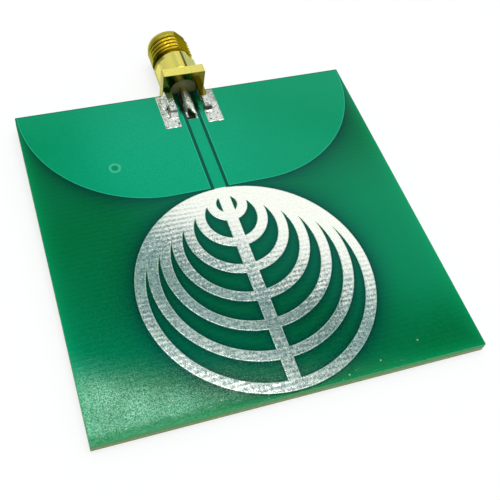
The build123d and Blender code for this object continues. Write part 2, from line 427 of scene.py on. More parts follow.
def lacquer_over_laminate(s, weave, to_tin, to_traces):
    """Deep green, with painted shade beside copper and painted light over the right half and at the sawn
    edge.
    """
    lit_right_tone = (0.0004, 0.172, 0.048)
    shaded = (0.0002, 0.013, 0.004)
    gap_and_shade = (0.0, 0.010, 0.004)
    step_shadow = (0.001, 0.050, 0.026)
    # painted shade in the laminate beside the copper
    near_copper = s.halving(s.high(s.low(to_tin, to_traces), 0.0), 1.1)
    # painted light over the right half, but not at the very front or beside the ground areas
    lit_right = s.all_of(
        s.fade(s.ragged(s.x, s.noise(0.15, 2.0), 6.0), *lit_right_x),
        s.fade(s.y, *lit_right_from_front_y),
        s.fade(s.y, *lit_right_from_rear_y),
    )
    tone = s.mix(near_copper, s.mix(lit_right, lacquer_deep, lit_right_tone), shaded)
    threads = s.mul(s.fade(weave, 0.2, 0.9), s.sub(1.0, near_copper))
    tone = s.paint(tone, threads, 0.12, lacquer_on_threads)
    # painted light glowing through the laminate at the sawn edge
    tone = s.paint(tone, near_sawn_edge(s), 0.55, lacquer_lit)
    # a dark gap round the rings, with painted shade along it
    tone = s.paint(tone, s.fade(to_tin, 0.30, 0.10), 0.9, gap_and_shade)
    # painted shadow along the step at the copper's edge
    return s.paint(tone, s.fade(to_traces, 0.16, 0.02), 0.55, step_shadow)


def lacquer_over_copper(s, to_grounds):
    """Bright green, with a broad painted sheen on the left and a painted highlight at the copper's edge."""
    plain = (0.0006, 0.252, 0.100)
    in_sheen = (0.0012, 0.296, 0.136)
    grained = (0.0006, 0.206, 0.078)
    rim_highlight = (0.03, 0.46, 0.26)
    from_sheen = s.ragged(s.distance_to(sheen_x, sheen_y), s.noise(0.12, 3.0), 6.0)
    # painted sheen, brightest on the left
    tone = s.mix(s.fade(from_sheen, 22.0, 7.0), plain, in_sheen)
    grain = s.fade(s.noise(3.5, 3.0, roughness=0.7), 0.45, 0.65)
    tone = s.paint(tone, grain, 0.5, grained)
    # painted highlight along the copper's edge
    return s.paint(tone, s.near(to_grounds, -0.06, 0.09, 0.02), 0.55, rim_highlight)


def handled_corner(s):
    """The front left corner of the lacquer: where it was handled, its sand, and how worn it is."""
    across = s.sub(s.x, board_low.x)
    along = s.sub(s.y, board_low.y)
    from_corner = s.add(s.mul(across, 0.25), s.mul(along, 0.97))
    handled = s.fade(s.ragged(from_corner, s.noise(0.5, 2.0), 2.0), 13.0, 7.0)
    sand = s.fade(s.noise(6.0, 5.0, roughness=0.9), 0.43, 0.57)
    # fullest in three soft spots, and thin at the board's edges
    spots = 0.0
    for x, y in handled_spots:
        from_spot = s.distance_to(board_low.x + x, board_low.y + y)
        spots = s.high(spots, s.fade(from_spot, 2.8, 0.4))
    off_front = s.fade(s.ragged(along, s.noise(0.8, 3.0), -1.2), -0.2, 1.0)
    off_edges = s.mul(off_front, s.fade(across, -0.3, 0.5))
    worn = s.all_of(
        s.level(spots, 0.80, 1.10),
        s.level(sand, 0.28, 1.68),
        s.level(off_edges, 0.38, 1.0),
    )
    return handled, sand, worn


def lacquer_on_top():
    """Green lacquer: bright over copper and deep over laminate, with the marks of its use."""
    s = Shader("lacquer_top")
    to_tin = distance_to_radiator(s)
    to_grounds = distance_to_grounds(s)
    to_traces = s.low(to_grounds, distance_to_feed(s))
    weave = cloth(s)
    step_z = (lacquer_low.z + lacquer_thickness + lacquer_high.z) / 2
    colour = s.mix(
        s.math("GREATER_THAN", s.z, step_z),
        lacquer_over_laminate(s, weave, to_tin, to_traces),
        lacquer_over_copper(s, to_grounds),
    )
    # a small mark left in it over the ground area: a pale ring with a deep middle
    from_mark = s.distance_to(ring_mark_x, ring_mark_y)
    ring = s.near(from_mark, ring_mark_radius, 0.24, 0.04)
    colour = s.paint(colour, ring, 0.6, (0.10, 0.52, 0.28))
    colour = s.paint(colour, s.fade(from_mark, 0.55, 0.25), 0.65, (0.0005, 0.15, 0.050))
    stipple, normal = orange_peel(s, weave)
    normal = s.bump(ring, 0.02, normal)
    # sandy gloss and pale dust where it was handled, and three chips along the front edge
    handled, sand, worn = handled_corner(s)
    gloss = s.mix(handled, lacquer_gloss, s.mix(sand, handled_gloss, sandy_gloss))
    shine = s.add(s.level(handled, lacquer_shine, 0.0), s.mul(handled, s.mul(worn, 1.42)))
    coarse = s.fade(s.cells(0.5), 0.060, 0.025)
    fine = s.mul(s.fade(s.cells(1.4), 0.13, 0.05), 0.6)
    dust = s.all_of(s.high(coarse, fine), handled, 0.8)
    for x, y in lacquer_chips:
        from_chip = s.distance_to(board_low.x + x, board_low.y + y)
        dust = s.high(dust, s.mul(s.fade(from_chip, 0.15, 0.05), 0.7))
    colour = s.mix(dust, colour, (0.50, 0.62, 0.38))
    # painted shadow of the jack, with burnt flux, in the slots beside the contact's joint, and painted
    # shadow of the flange between the legs
    wander = s.mul(s.sub(s.noise(1.6, 3.0), 0.5), 0.7)
    along = s.add(s.y, wander)
    from_slot = s.add(s.size_of(s.sub(s.size_of(s.x), slot_middle_x)), wander)
    flux_and_shade = s.mul(s.fade(from_slot, 0.70, 0.35), s.fade(along, *slot_flux_and_shadow_y))
    colour = s.paint(colour, flux_and_shade, 0.95, (0.0005, 0.004, 0.002))
    flange_shadow = s.mul(s.fade(along, *flange_shadow_y), s.fade(s.size_of(s.x), *flange_shadow_x))
    colour = s.paint(colour, flange_shadow, 0.9, (0.001, 0.016, 0.007))
    shine = s.mul(shine, s.level(flux_and_shade, 1.0, 0.15))
    return s.surface(
        Base_Color=colour, Roughness=stipple, Specular_IOR_Level=shine,
        Specular_Tint=gloss, Normal=normal,
    )


def lacquer_below():
    """The same lacquer on the underside, all over laminate."""
    s = Shader("lacquer_bottom")
    weave = cloth(s)
    tone = s.mix(s.mul(s.fade(weave, 0.2, 0.9), 0.15), lacquer_deep, lacquer_on_threads)
    # painted light glowing through the laminate at the sawn edge
    tone = s.paint(tone, near_sawn_edge(s), 0.75, lacquer_lit)
    stipple, normal = orange_peel(s, weave)
    return s.surface(
        Base_Color=tone, Roughness=stipple, Specular_IOR_Level=lacquer_shine,
        Specular_Tint=lacquer_gloss, Normal=normal,
    )


def glass_epoxy():
    """Sawn edge: plies of glass cloth in pale resin, green in its upper half, with painted shade at its
    foot.
    """
    s = Shader("glass_epoxy")
    plies = s.math("SINE", s.mul(s.z, 2 * pi / ply_thickness))
    fibres = s.noise(7.0, 3.0, s.stretch(1.0, 1.0, 0.25), roughness=0.7)
    tone = s.mix(s.fade(fibres, 0.3, 0.7), (0.20, 0.24, 0.08), (0.34, 0.37, 0.15))
    tone = s.paint(tone, s.fade(plies, 0.2, 1.0), 0.3, (0.22, 0.26, 0.09))
    depth = s.sub(board_high.z, s.z)
    tone = s.paint(tone, s.fade(depth, 1.05, 0.70), 0.92, (0.020, 0.30, 0.095))
    # painted shade along the foot of the sawn edge
    tone = s.paint(tone, s.fade(depth, 1.36, 1.5), 0.85, (0.05, 0.05, 0.02))
    # darkened where the laminate is bare beside the feed pad: burnt flux, with painted shade of the jack
    darkened = s.all_of(
        s.fade(depth, 0.04, 0.02),
        s.fade(s.size_of(s.x), 1.1, 1.0),
        s.fade(s.y, feed_pad_front_y - 0.08, feed_pad_front_y + 0.22),
    )
    tone = s.paint(tone, darkened, 0.95, (0.006, 0.012, 0.007))
    return s.surface(Base_Color=tone, Roughness=0.65, Normal=s.bump(fibres, 0.02))


def levelled_tin():
    """Hot-air levelled tin: domed edges, fine spangle with a painted dark reflection, and the cloth's weave
    printed through.
    """
    s = Shader("levelled_tin")
    lumps = s.noise(1.7, 5.0, roughness=0.72)
    height = s.add(s.mul(lumps, 0.3), s.mul(cloth(s), 0.7))
    frost = s.fade(s.noise(3.6, 4.0, roughness=0.8), 0.42, 0.58)
    tone = s.mix(frost, (0.88, 0.91, 0.83), (0.84, 0.87, 0.80))
    # spangle: stronger over the front left of the disc, with a painted dark reflection in its grains there
    from_viewer = s.distance_to(under_camera_x, under_camera_y)
    spangled = s.fade(from_viewer, 66.0, 57.0)
    dark_reflection_grains = s.fade(s.noise(2.6, 4.0, roughness=0.85), 0.49, 0.56)
    tone = s.paint(tone, s.mul(dark_reflection_grains, spangled), 0.66, (0.22, 0.33, 0.38))
    # darkened about the feed line's end, under its joint: burnt flux, with painted shade beside the ridge
    darkened = s.mul(
        s.fade(s.size_of(s.x), 0.95, 0.90),
        s.fade(s.y, feed_pad_front_y - 0.08, feed_pad_front_y + 0.12),
    )
    tone = s.paint(tone, darkened, 0.95, (0.02, 0.03, 0.015))
    normal = s.bump(height, 0.0048, s.round_edges(0.14))
    normal = s.tilt(6.0, s.level(spangled, 0.010, 0.032), normal)
    return s.surface(
        Base_Color=tone, Metallic=s.sub(1.0, darkened), Roughness=s.level(frost, 0.06, 0.14),
        Specular_IOR_Level=0.1, Normal=normal,
    )


def shade_at_leg_ends(s):
    """Painted shade at the legs' feet, and along the top of the solder before the left one's end."""
    across = s.size_of(s.x)
    beside = s.high(s.sub(across, leg_outer_x), s.sub(leg_outer_x - leg_width, across))
    from_foot = s.diagonal(s.high(beside, 0.0), s.high(s.sub(leg_end_y, s.y), 0.0))
    on_right = s.fade(s.x, -0.1, 0.1)
    # beside both legs' feet, and before the right one's end too
    foot = s.all_of(
        s.near(from_foot, 0.14, 0.26, 0.10),
        s.fade(from_foot, 0.0, 0.05),
        s.fade(s.add(s.y, s.noise(1.0)), leg_end_y + 1.5, leg_end_y + 0.8),
        s.high(on_right, s.fade(s.y, leg_end_y - 0.02, leg_end_y + 0.04)),
    )
    brow = s.all_of(
        s.near(s.z, copper_top_z + leg_height - 0.24, 0.17, 0.09),
        s.sub(1.0, on_right),
        s.fade(s.y, leg_end_y + 0.03, leg_end_y - 0.02),
    )
    return s.mul(s.high(foot, brow), s.level(s.fade(s.x, -1.0, 1.0), 0.82, 0.96))


def dark_on_ridge(s, wander):
    """Dark on the ridge: a triangle before the contact's end, a painted dark reflection on the front edge
    and painted shade at the left foot.
    """
    across = s.add(s.x, wander)
    slant = s.add(across, s.mul(s.add(s.y, 12.0), 0.62))
    triangle = s.all_of(
        s.fade(slant, -0.22, -0.42),
        s.fade(s.y, *ridge_end_y),
        s.fade(s.x, -0.62, -0.50),
    )
    front = s.mul(s.fade(s.add(s.y, wander), *ridge_front_y), s.fade(s.x, 0.46, 0.32))
    foot = s.mul(s.fade(across, -0.54, -0.66), s.fade(s.y, *ridge_foot_y))
    return s.high(s.high(triangle, front), foot)


def bright_solder():
    """Solder: bright, a little frosted, with dark flux, burnt spots and painted shade; matter on the ridge.
    """
    s = Shader("bright_solder")
    frost = s.fade(s.noise(3.0, 4.0, roughness=0.75), 0.45, 0.62)
    tone = s.mix(frost, (0.86, 0.88, 0.82), (0.62, 0.66, 0.61))
    wander = s.mul(s.sub(s.noise(2.0), 0.5), 0.4)
    # the ridge over the contact: a warmer tone, with painted shade of the jack towards it
    on_ridge = s.fade(s.size_of(s.x), 1.0, 0.9)
    tone = s.paint(tone, on_ridge, 0.8, (0.70, 0.76, 0.62))
    rear = s.mul(on_ridge, s.fade(s.ragged(s.y, wander, 2.0), *ridge_rear_y))
    tone = s.paint(tone, rear, 0.75, (0.20, 0.22, 0.17))
    # duller to the right of the right leg, and burnt spots on the leg and the pads
    dull = s.mul(s.fade(s.x, *dull_x), s.fade(s.add(s.y, wander), *dull_y))
    darkened = s.mul(dull, s.level(s.fade(s.noise(1.8, 3.0), 0.38, 0.62), 0.15, 0.60))
    for x, y, reach in solder_burns:
        from_burn = s.add(s.distance_to(x, y), wander)
        darkened = s.high(darkened, s.fade(from_burn, reach, 0.4 * reach))
    flux_and_shade = s.mul(s.fade(s.noise(2.4, 3.0, roughness=0.65), 0.57, 0.66), 0.75)
    flux_and_shade = s.high(s.high(flux_and_shade, darkened), shade_at_leg_ends(s))
    flux_and_shade = s.high(flux_and_shade, s.mul(dark_on_ridge(s, wander), on_ridge))
    tone = s.mix(flux_and_shade, tone, dark_flux_and_shade)
    normal = s.tilt(3.0, 0.10, s.bump(s.noise(2.2, 4.0, roughness=0.6), 0.025))
    return s.surface(
        Base_Color=tone, Metallic=s.sub(1.0, flux_and_shade),
        Roughness=s.add(s.level(frost, 0.16, 0.30), s.mul(on_ridge, 0.22)),
        Specular_IOR_Level=0.1, Normal=normal,
    )


def gold_on_thread(s, gold, wear, toward_flat):
    """Deeper gold on the thread, with painted shade in its grooves and a painted dark reflection at its
    left, duller at the lead-in.
    """
    threaded = s.all_of(
        s.fade(s.y, thread_back_y - 0.05, thread_back_y),
        s.fade(s.y, mouth_y - 0.3, mouth_y - 0.6),
        s.fade(toward_flat, flat_distance - 0.01, flat_distance - 0.05),
    )
    gold = s.mix(threaded, gold, (0.94, 0.71, 0.05))
    lead_in = s.fade(s.y, last_groove_y - 0.32, last_groove_y - 0.18)
    gold = s.paint(gold, lead_in, 0.85, (0.50, 0.43, 0.05))
    # painted dark reflection over the left of the thread
    dark_left_reflection = s.mul(threaded, s.fade(s.ragged(s.x, wear, 1.2), -0.2, -2.0))
    gold = s.paint(gold, dark_left_reflection, 0.74, (0.24, 0.23, 0.018))
    from_axis = s.diagonal(s.x, s.z)
    # painted shade in the thread's grooves
    groove = s.mul(threaded, s.fade(from_axis, barrel_radius - 0.10, barrel_radius - 0.32))
    gold = s.paint(gold, groove, 0.9, (0.16, 0.12, 0.01))
    # the painted dark reflection runs on over the left of the relief groove
    blotch = s.all_of(
        s.fade(s.ragged(s.x, wear, 0.8), -1.1, -1.8),
        s.fade(s.y, thread_back_y + 0.4, thread_back_y),
        s.fade(s.ragged(s.y, wear, 0.6), *relief_dark_y),
    )
    return s.paint(gold, blotch, 0.85, (0.13, 0.14, 0.012)), lead_in


def gold_on_flange(s, gold, wear):
    """Painted shade on the flange's left side, more on its face over the board, darkest with a painted
    green reflection of the board at the left leg.
    """
    # painted shade on the left side
    on_left = s.fade(s.x, 0.07 - flange_half, 0.02 - flange_half)
    left_tone = s.mix(s.fade(s.z, 0.5, 2.6), (0.46, 0.48, 0.18), (0.34, 0.30, 0.07))
    gold = s.paint(gold, on_left, 0.9, left_tone)
    # painted shade on the face over the board
    on_face = s.fade(s.y, flange_front_y + 0.10, flange_front_y + 0.03)
    face_tone = s.mix(s.fade(s.x, 0.8, 2.2), (0.135, 0.115, 0.008), (0.20, 0.18, 0.018))
    gold = s.paint(gold, on_face, 0.90, face_tone)
    # painted green reflection of the board at the face's left, by the left leg
    darkened = s.all_of(on_face, s.fade(s.ragged(s.x, wear, 0.6), -1.0, -1.6), s.fade(s.z, -1.0, -0.5))
    return s.paint(gold, darkened, 0.85, (0.028, 0.098, 0.014))


def plated_brass():
    """Thin gold over turned brass, tinned along the legs where solder has crept."""
    s = Shader("plated_brass")
    wear = s.noise(1.6, 4.0, roughness=0.65)
    gold = s.mix(s.fade(wear, 0.35, 0.7), (0.86, 0.77, 0.16), (0.78, 0.71, 0.20))
    toward_flat = s.add(s.mul(s.x, cos(flat_angle)), s.mul(s.z, sin(flat_angle)))
    gold, lead_in = gold_on_thread(s, gold, wear, toward_flat)
    # the milled flat is darker with a painted dark reflection, and has a painted shadow line along its
    # upper edge on the neck
    on_neck = s.mul(
        s.fade(s.y, relief_back_y + 0.02, relief_back_y - 0.02),
        s.fade(s.y, flange_back_y + 0.02, flange_back_y + 0.06),
    )
    on_flat = s.all_of(
        s.fade(toward_flat, flat_distance - 0.06, flat_distance - 0.02),
        s.fade(s.y, flange_back_y, flange_back_y + 0.04),
        s.fade(s.y, mouth_y - 0.02, mouth_y - 0.06),
    )
    flat_on_thread = s.mul(on_flat, s.fade(s.y, neck_y, thread_back_y))
    flat_tone = s.mix(flat_on_thread, (0.42, 0.42, 0.16), (0.14, 0.11, 0.008))
    gold = s.paint(gold, on_flat, 0.95, flat_tone)
    line = s.mul(s.near(s.x, flat_edge_x, 0.32, 0.14), s.fade(s.z, 0.0, 0.5))
    gold = s.paint(gold, s.mul(line, on_neck), 0.95, (0.06, 0.05, 0.005))
    gold = gold_on_flange(s, gold, wear)
    # tin on the whole of the left legs, and only near the end of the right ones
    creep = s.ragged(s.y, s.sub(s.noise(2.2, 3.0), 0.5), 0.9)
    tinned = s.mul(
        s.fade(creep, leg_end_y + 3.55, leg_end_y + 3.25),
        s.high(s.fade(creep, leg_end_y + 2.0, leg_end_y + 1.7), s.fade(s.x, 0.1, -0.1)),
    )
    tone = s.mix(tinned, gold, (0.80, 0.80, 0.77))
    rough = s.add(s.level(wear, 0.11, 0.23), s.add(s.mul(on_neck, 0.10), s.mul(lead_in, 0.16)))
    turning = s.noise(9.0, 2.0, s.stretch(0.08, 2.0, 0.08))
    height = s.add(s.mul(turning, 0.6), s.mul(s.noise(12.0, 2.0), 0.4))
    return s.surface(
        Base_Color=tone, Metallic=1.0, Roughness=rough,
        Specular_Tint=s.mix(flat_on_thread, (1.0, 0.96, 0.66), (0.75, 0.66, 0.15)),
        Normal=s.bump(height, 0.004),
    )


def plated_contact():
    """Brighter gold of the centre contact."""
    s = Shader("plated_contact")
    wear = s.noise(2.5, 3.0)
    return s.surface(
        Base_Color=s.mix(s.fade(wear, 0.3, 0.7), (0.88, 0.64, 0.17), (0.78, 0.58, 0.20)),
        Metallic=1.0, Roughness=s.level(wear, 0.15, 0.25),
        Normal=s.bump(s.noise(8.0, 2.0), 0.003),
    )


def bead_plastic():
    """Bead of waxy plastic, painted dark grey with the shade of the flange."""
    s = Shader("bead_plastic")
    clouds = s.noise(1.5, 3.0)
    rings = s.noise(10.0, 2.0, s.stretch(1.0, 0.1, 1.0))
    return s.surface(
        Base_Color=s.mix(clouds, (0.14, 0.15, 0.062), (0.175, 0.185, 0.085)),
        Roughness=s.level(clouds, 0.38, 0.48),
        Normal=s.bump(rings, 0.006),
    )


# Meshes
def new_piece(name, vertices, faces, sharp_angle=35.0):
    """A smooth mesh object from points in millimetres, sharp where faces meet steeply."""
    mesh = bpy.data.meshes.new(name)
    mesh.from_pydata([Vector(v) * MM for v in vertices], [], faces)
    mesh.validate()
    mesh.update()
    mesh.polygons.foreach_set("use_smooth", [True] * len(mesh.polygons))
    mesh.set_sharp_from_angle(angle=radians(sharp_angle))
    piece = bpy.data.objects.new(name, mesh)
    bpy.context.collection.objects.link(piece)
    return piece


def rounded_square_radius(angle, half, corner):
    """How far a square with round corners reaches from its middle at an angle."""
    long_side = max(abs(cos(angle)), abs(sin(angle)))
    short_side = min(abs(cos(angle)), abs(sin(angle)))
    reach = half / long_side
    if reach * short_side <= half - corner:
        return reach
    # the ray meets the corner's arc
    centre = half - corner
    along = centre * (long_side + short_side)
    beside = centre * (long_side - short_side)
    return along + (corner**2 - beside**2) ** 0.5


def with_flat(radius, angle):
    """The barrel's radius at an angle, cut back by the flat milled along it."""
    toward = cos(angle - flat_angle)
    if toward <= 0:
        return radius
    return min(radius, flat_distance / toward)


def thread_radius(y, angle):
    """The barrel's radius in the thread: a right-hand helix that fades out at the lead-in."""
    turn = (pi / 2 - angle) / (2 * pi)
    phase = ((y - crest_y) / thread_pitch - turn) % 1.0
    rise = abs(2 * phase - 1)
    shape = smooth(1.5 * rise - 0.22)
    fade = min(max((last_groove_y + 0.15 - y) / 0.3, 0.0), 1.0)
    radius = barrel_radius - thread_depth * (1 - shape) * fade
    return min(radius, barrel_radius - max(y - thread_front_y, 0.0))


def jack_section():
    """Stations along the jack's skin, as (place along the axis, function from angle to radius)."""

    def circle(radius):
        return lambda angle: radius

    def barrel(radius):
        return lambda angle: with_flat(radius, angle)

    def square(half, corner):
        return lambda angle: rounded_square_radius(angle, half, corner)

    front_break = 0.04
    stations = [
        (flange_front_y, circle(bead_bore_radius)),
        (flange_front_y, square(flange_half - front_break, edge_break)),
        (flange_front_y + front_break, square(flange_half, edge_break)),
        (flange_back_y - edge_break, square(flange_half, edge_break)),
        (flange_back_y, square(flange_half - edge_break, edge_break)),
        (flange_back_y, lambda angle: min(with_flat(barrel_radius, angle), flange_half - edge_break)),
        (flange_back_y + 0.03, barrel(barrel_radius)),
        (neck_y - 0.04, barrel(barrel_radius)),
        (neck_y + 0.04, barrel(barrel_radius - 0.06)),
        (relief_back_y - 0.04, barrel(relief_radius + 0.04)),
        (relief_back_y, barrel(relief_radius)),
        (thread_back_y, barrel(relief_radius)),
    ]
    steps = 84
    for step in range(steps + 1):
        y = thread_back_y + (thread_front_y + barrel_radius - lead_in_radius - thread_back_y) * step / steps
        stations.append((y, lambda angle, y=y: with_flat(thread_radius(y, angle), angle)))
    outer_break = 0.1
    inner_break = 0.15
    stations += [
        (mouth_y - outer_break, barrel(lead_in_radius)),
        (mouth_y - 0.03, barrel(lead_in_radius - outer_break + 0.02)),
        (mouth_y, barrel(lead_in_radius - outer_break - 0.02)),
        (mouth_y, circle(bore_radius + inner_break)),
        (mouth_y - inner_break, circle(bore_radius)),
        (0.0, circle(bore_radius)),
        (0.0, circle(bead_bore_radius)),
    ]
    return stations


def jack_mesh():
    """The jack's turned skin, closed through its bore, and the four legs set into the flange."""
    columns = 288
    stations = jack_section()
    vertices = []
    for y, radius_at in stations:
        for column in range(columns):
            angle = 2 * pi * column / columns
            radius = radius_at(angle)
            vertices.append((radius * cos(angle), y, radius * sin(angle)))
    faces = []
    rows = len(stations)
    for row in range(rows):
        after = (row + 1) % rows
        for column in range(columns):
            beside = (column + 1) % columns
            faces.append((
                row * columns + column, after * columns + column,
                after * columns + beside, row * columns + beside,
            ))
    upper_z = (copper_top_z, copper_top_z + leg_height)
    lower_z = (pad_low.z - leg_height, pad_low.z)
    for side in (-1, 1):
        for low_z, high_z in (upper_z, lower_z):
            leg_vertices, leg_faces = leg_mesh(side, low_z, high_z)
            start = len(vertices)
            vertices += leg_vertices
            faces += [tuple(start + i for i in face) for face in leg_faces]
    return vertices, faces


def leg_mesh(side, low_z, high_z):
    """A square leg with broken edges, from inside the flange to its chamfered end."""
    rounding = 0.05
    stations = (
        (flange_front_y + 0.1, 0.0),
        (leg_end_y + 0.12, 0.0),
        (leg_end_y + 0.03, 0.05),
        (leg_end_y, 0.09),
    )
    middle_x = side * (leg_outer_x - leg_width / 2)
    middle_z = (low_z + high_z) / 2
    half_x = leg_width / 2
    half_z = (high_z - low_z) / 2
    corners = ((1, 1), (-1, 1), (-1, -1), (1, -1))
    vertices = []
    for y, inset in stations:
        for sx, sz in corners:
            for turn in range(4):
                # each corner is a short arc
                start = atan2(sz, sx) - pi / 4
                angle = start + pi / 2 * turn / 3
                x = sx * (half_x - inset - rounding) + rounding * cos(angle)
                z = sz * (half_z - inset - rounding) + rounding * sin(angle)
                vertices.append((middle_x + x, y, middle_z + z))
    around = 16
    faces = []
    for row in range(len(stations) - 1):
        for i in range(around):
            j = (i + 1) % around
            faces.append((
                row * around + i, row * around + j,
                (row + 1) * around + j, (row + 1) * around + i,
            ))
    last = (len(stations) - 1) * around
    faces.append(tuple(reversed(range(around))))
    faces.append(tuple(last + i for i in range(around)))
    return vertices, faces


def mound(low_x, high_x, low_y, high_y, base_z, up, height_at, cell=0.045):
    """A closed heap of solder on a flat base: height_at(x, y) gives its height over the base."""
    columns = max(int(round((high_x - low_x) / cell)), 4)
    rows = max(int(round((high_y - low_y) / cell)), 4)
    vertices = []
    for level in (0, 1):
        for row in range(rows + 1):
            for column in range(columns + 1):
                x = low_x + (high_x - low_x) * column / columns
                y = low_y + (high_y - low_y) * row / rows
                rise = height_at(x, y) if level else 0.0
                vertices.append((x, y, base_z + up * rise))
    width = columns + 1
    top = width * (rows + 1)
    faces = []
    for row in range(rows):
        for column in range(columns):
            a = row * width + column
            quad = (a, a + 1, a + width + 1, a + width)
            upper = tuple(top + i for i in quad)
            faces.append(upper if up > 0 else tuple(reversed(upper)))
            faces.append(tuple(reversed(quad)) if up > 0 else quad)
    rim = list(range(columns))
    rim += [columns + r * width for r in range(rows)]
    rim += [rows * width + columns - c for c in range(columns)]
    rim += [(rows - r) * width for r in range(rows)]
    for i, a in enumerate(rim):
        b = rim[(i + 1) % len(rim)]
        wall = (a, b, top + b, top + a)
        faces.append(wall if up > 0 else tuple(reversed(wall)))
    return vertices, faces


def lumps(x, y, fineness, seed):
    """Lumpy height from about -1 to 1, with that many lumps to the millimetre."""
    return noise.fractal(Vector((x * fineness, y * fineness, seed)), 0.8, 2.1, 4)


def smooth(value):
    value = min(max(value, 0.0), 1.0)
    return value * value * (3 - 2 * value)


def pin_ridge():
    """Solder drawn up over the contact's tail, ending in a slope at the pad's front edge."""
    half = feed_width / 2 - 0.02
    rear_y = ridge_high.y + 0.25
    tail_end_y = contact_low.y - 0.05
    front_y = feed_pad_front_y + 0.05
    shoulder = -copper_top_z
    back_radius = tail_radius + tail_film

    def height_at(x, y):
        # a broad back over the tail that bends to the right and slopes down past the tail's end
        rough = lumps(x, y, 1.3, 4.2)
        fine = lumps(x, y, 3.4, 1.1)
        past = smooth((tail_end_y + 0.5 - y) / 1.4)
        middle = -0.04 + 0.44 * past
        reach = (0.80 - 0.38 * past) + 0.05 * rough
        crown = shoulder + back_radius + 0.02 - 0.42 * past
        back = crown * (1 - min(abs(x - middle) / reach, 1.0) ** 3.0)
        over_tail = 0.0
        if abs(x) < back_radius and y > tail_end_y:
            over_tail = shoulder + (back_radius**2 - x**2) ** 0.5
        ridge = max(back + 0.08 * rough, over_tail, 0.05) + 0.02 * fine
        end = smooth((y - front_y + 0.10 * rough) / 0.45)
        start = smooth((rear_y - y + 0.2 * rough) / 0.3)
        return min(max(ridge * end * start, 0.012), top_height)

    top_height = ridge_high.z - copper_top_z
    return mound(-half, half, front_y, rear_y, copper_top_z, 1, height_at)


def leg_solder(side, base_z, up, seed):
    """Solder on a leg's pad: a lumpy film, banked up round the leg and, on top, over its end."""
    inner_x = leg_outer_x - leg_width
    margin = 0.02
    film = 0.03
    # on the left the leg is coated further, and on top solder slopes down before its end
    skin_height = leg_height + 0.04 if up > 0 else 0.0
    coat_length = 2.75 if side < 0 else 1.7
    apron_height = leg_height - 0.05 if side < 0 and up > 0 else 0.0

    def height_at(x, y):
        out = abs(x)
        rough = lumps(x, y, 0.9, seed)
        fine = lumps(x, y, 2.6, seed + 5.0)
        sheet = film + 0.022 * rough + 0.022 * fine
        beside = max(out - leg_outer_x, inner_x - out, 0.0)
        ahead = max(leg_end_y - y, 0.0)
        away = hypot(beside, ahead)
        reach = 0.75 + 0.3 * rough
        bank = (0.55 + 0.3 * rough + 0.1 * fine) * max(1 - away / reach, 0.0) ** 1.9
        on_leg = smooth(1 - away / 0.07)
        coated = smooth((leg_end_y + coat_length - y) / 0.5 + 0.5 * rough)
        apron = apron_height * max(1 - ahead / (0.80 + 0.15 * rough), 0.0) * smooth(1.3 - beside / 0.2)
        skin = (skin_height + 0.05 * rough + 0.03 * fine) * on_leg * coated
        edge = min(out - pad_low.x, pad_high.x - out, y - pad_low.y, pad_high.y - y)
        rim = 0.03 * smooth(1 - abs(edge - 0.14) / 0.1)
        return max(sheet + rim, bank, skin, apron, 0.012)

    low_x, high_x = sorted((side * (pad_low.x + margin), side * (pad_high.x - margin)))
    return mound(low_x, high_x, pad_low.y + margin, pad_high.y - margin, base_z, up, height_at, 0.055)


def add_piece(name, mesh_data, material, node, sharp_angle=35.0):
    """A modelled piece that stands for a solid of the frame."""
    piece = new_piece(name, *mesh_data, sharp_angle=sharp_angle)
    piece.data.materials.append(material)
    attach(piece, "root")
    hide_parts(node)
    return piece


def dress(node, material):
    """Gives a solid of the frame its material."""
    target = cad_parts[node]
    target.data.materials.clear()
    target.data.materials.append(material)


tin = levelled_tin()
solder = bright_solder()
dress("solder_mask_top", lacquer_on_top())
dress("solder_mask_bottom", lacquer_below())
dress("laminate", glass_epoxy())
for node in ("radiator", "ground_left", "ground_right", "underside_pad_left", "underside_pad_right"):
    dress(node, tin)
dress("sma_contact", plated_contact())
dress("sma_insulator", bead_plastic())

add_piece("jack_body", jack_mesh(), plated_brass(), "sma_body", sharp_angle=28.0)
add_piece("pin_ridge", pin_ridge(), solder, "pin_solder", sharp_angle=60.0)
for side_name, side in (("left", -1), ("right", 1)):
    for level_name, base_z, up in (("top", copper_top_z, 1), ("bottom", pad_low.z, -1)):
        heap = leg_solder(side, base_z, up, 3.3 + side + 0.7 * up)
        name = f"leg_heap_{level_name}_{side_name}"
        node = f"leg_solder_{level_name}_{side_name}"
        add_piece(name, heap, solder, node, sharp_angle=60.0)


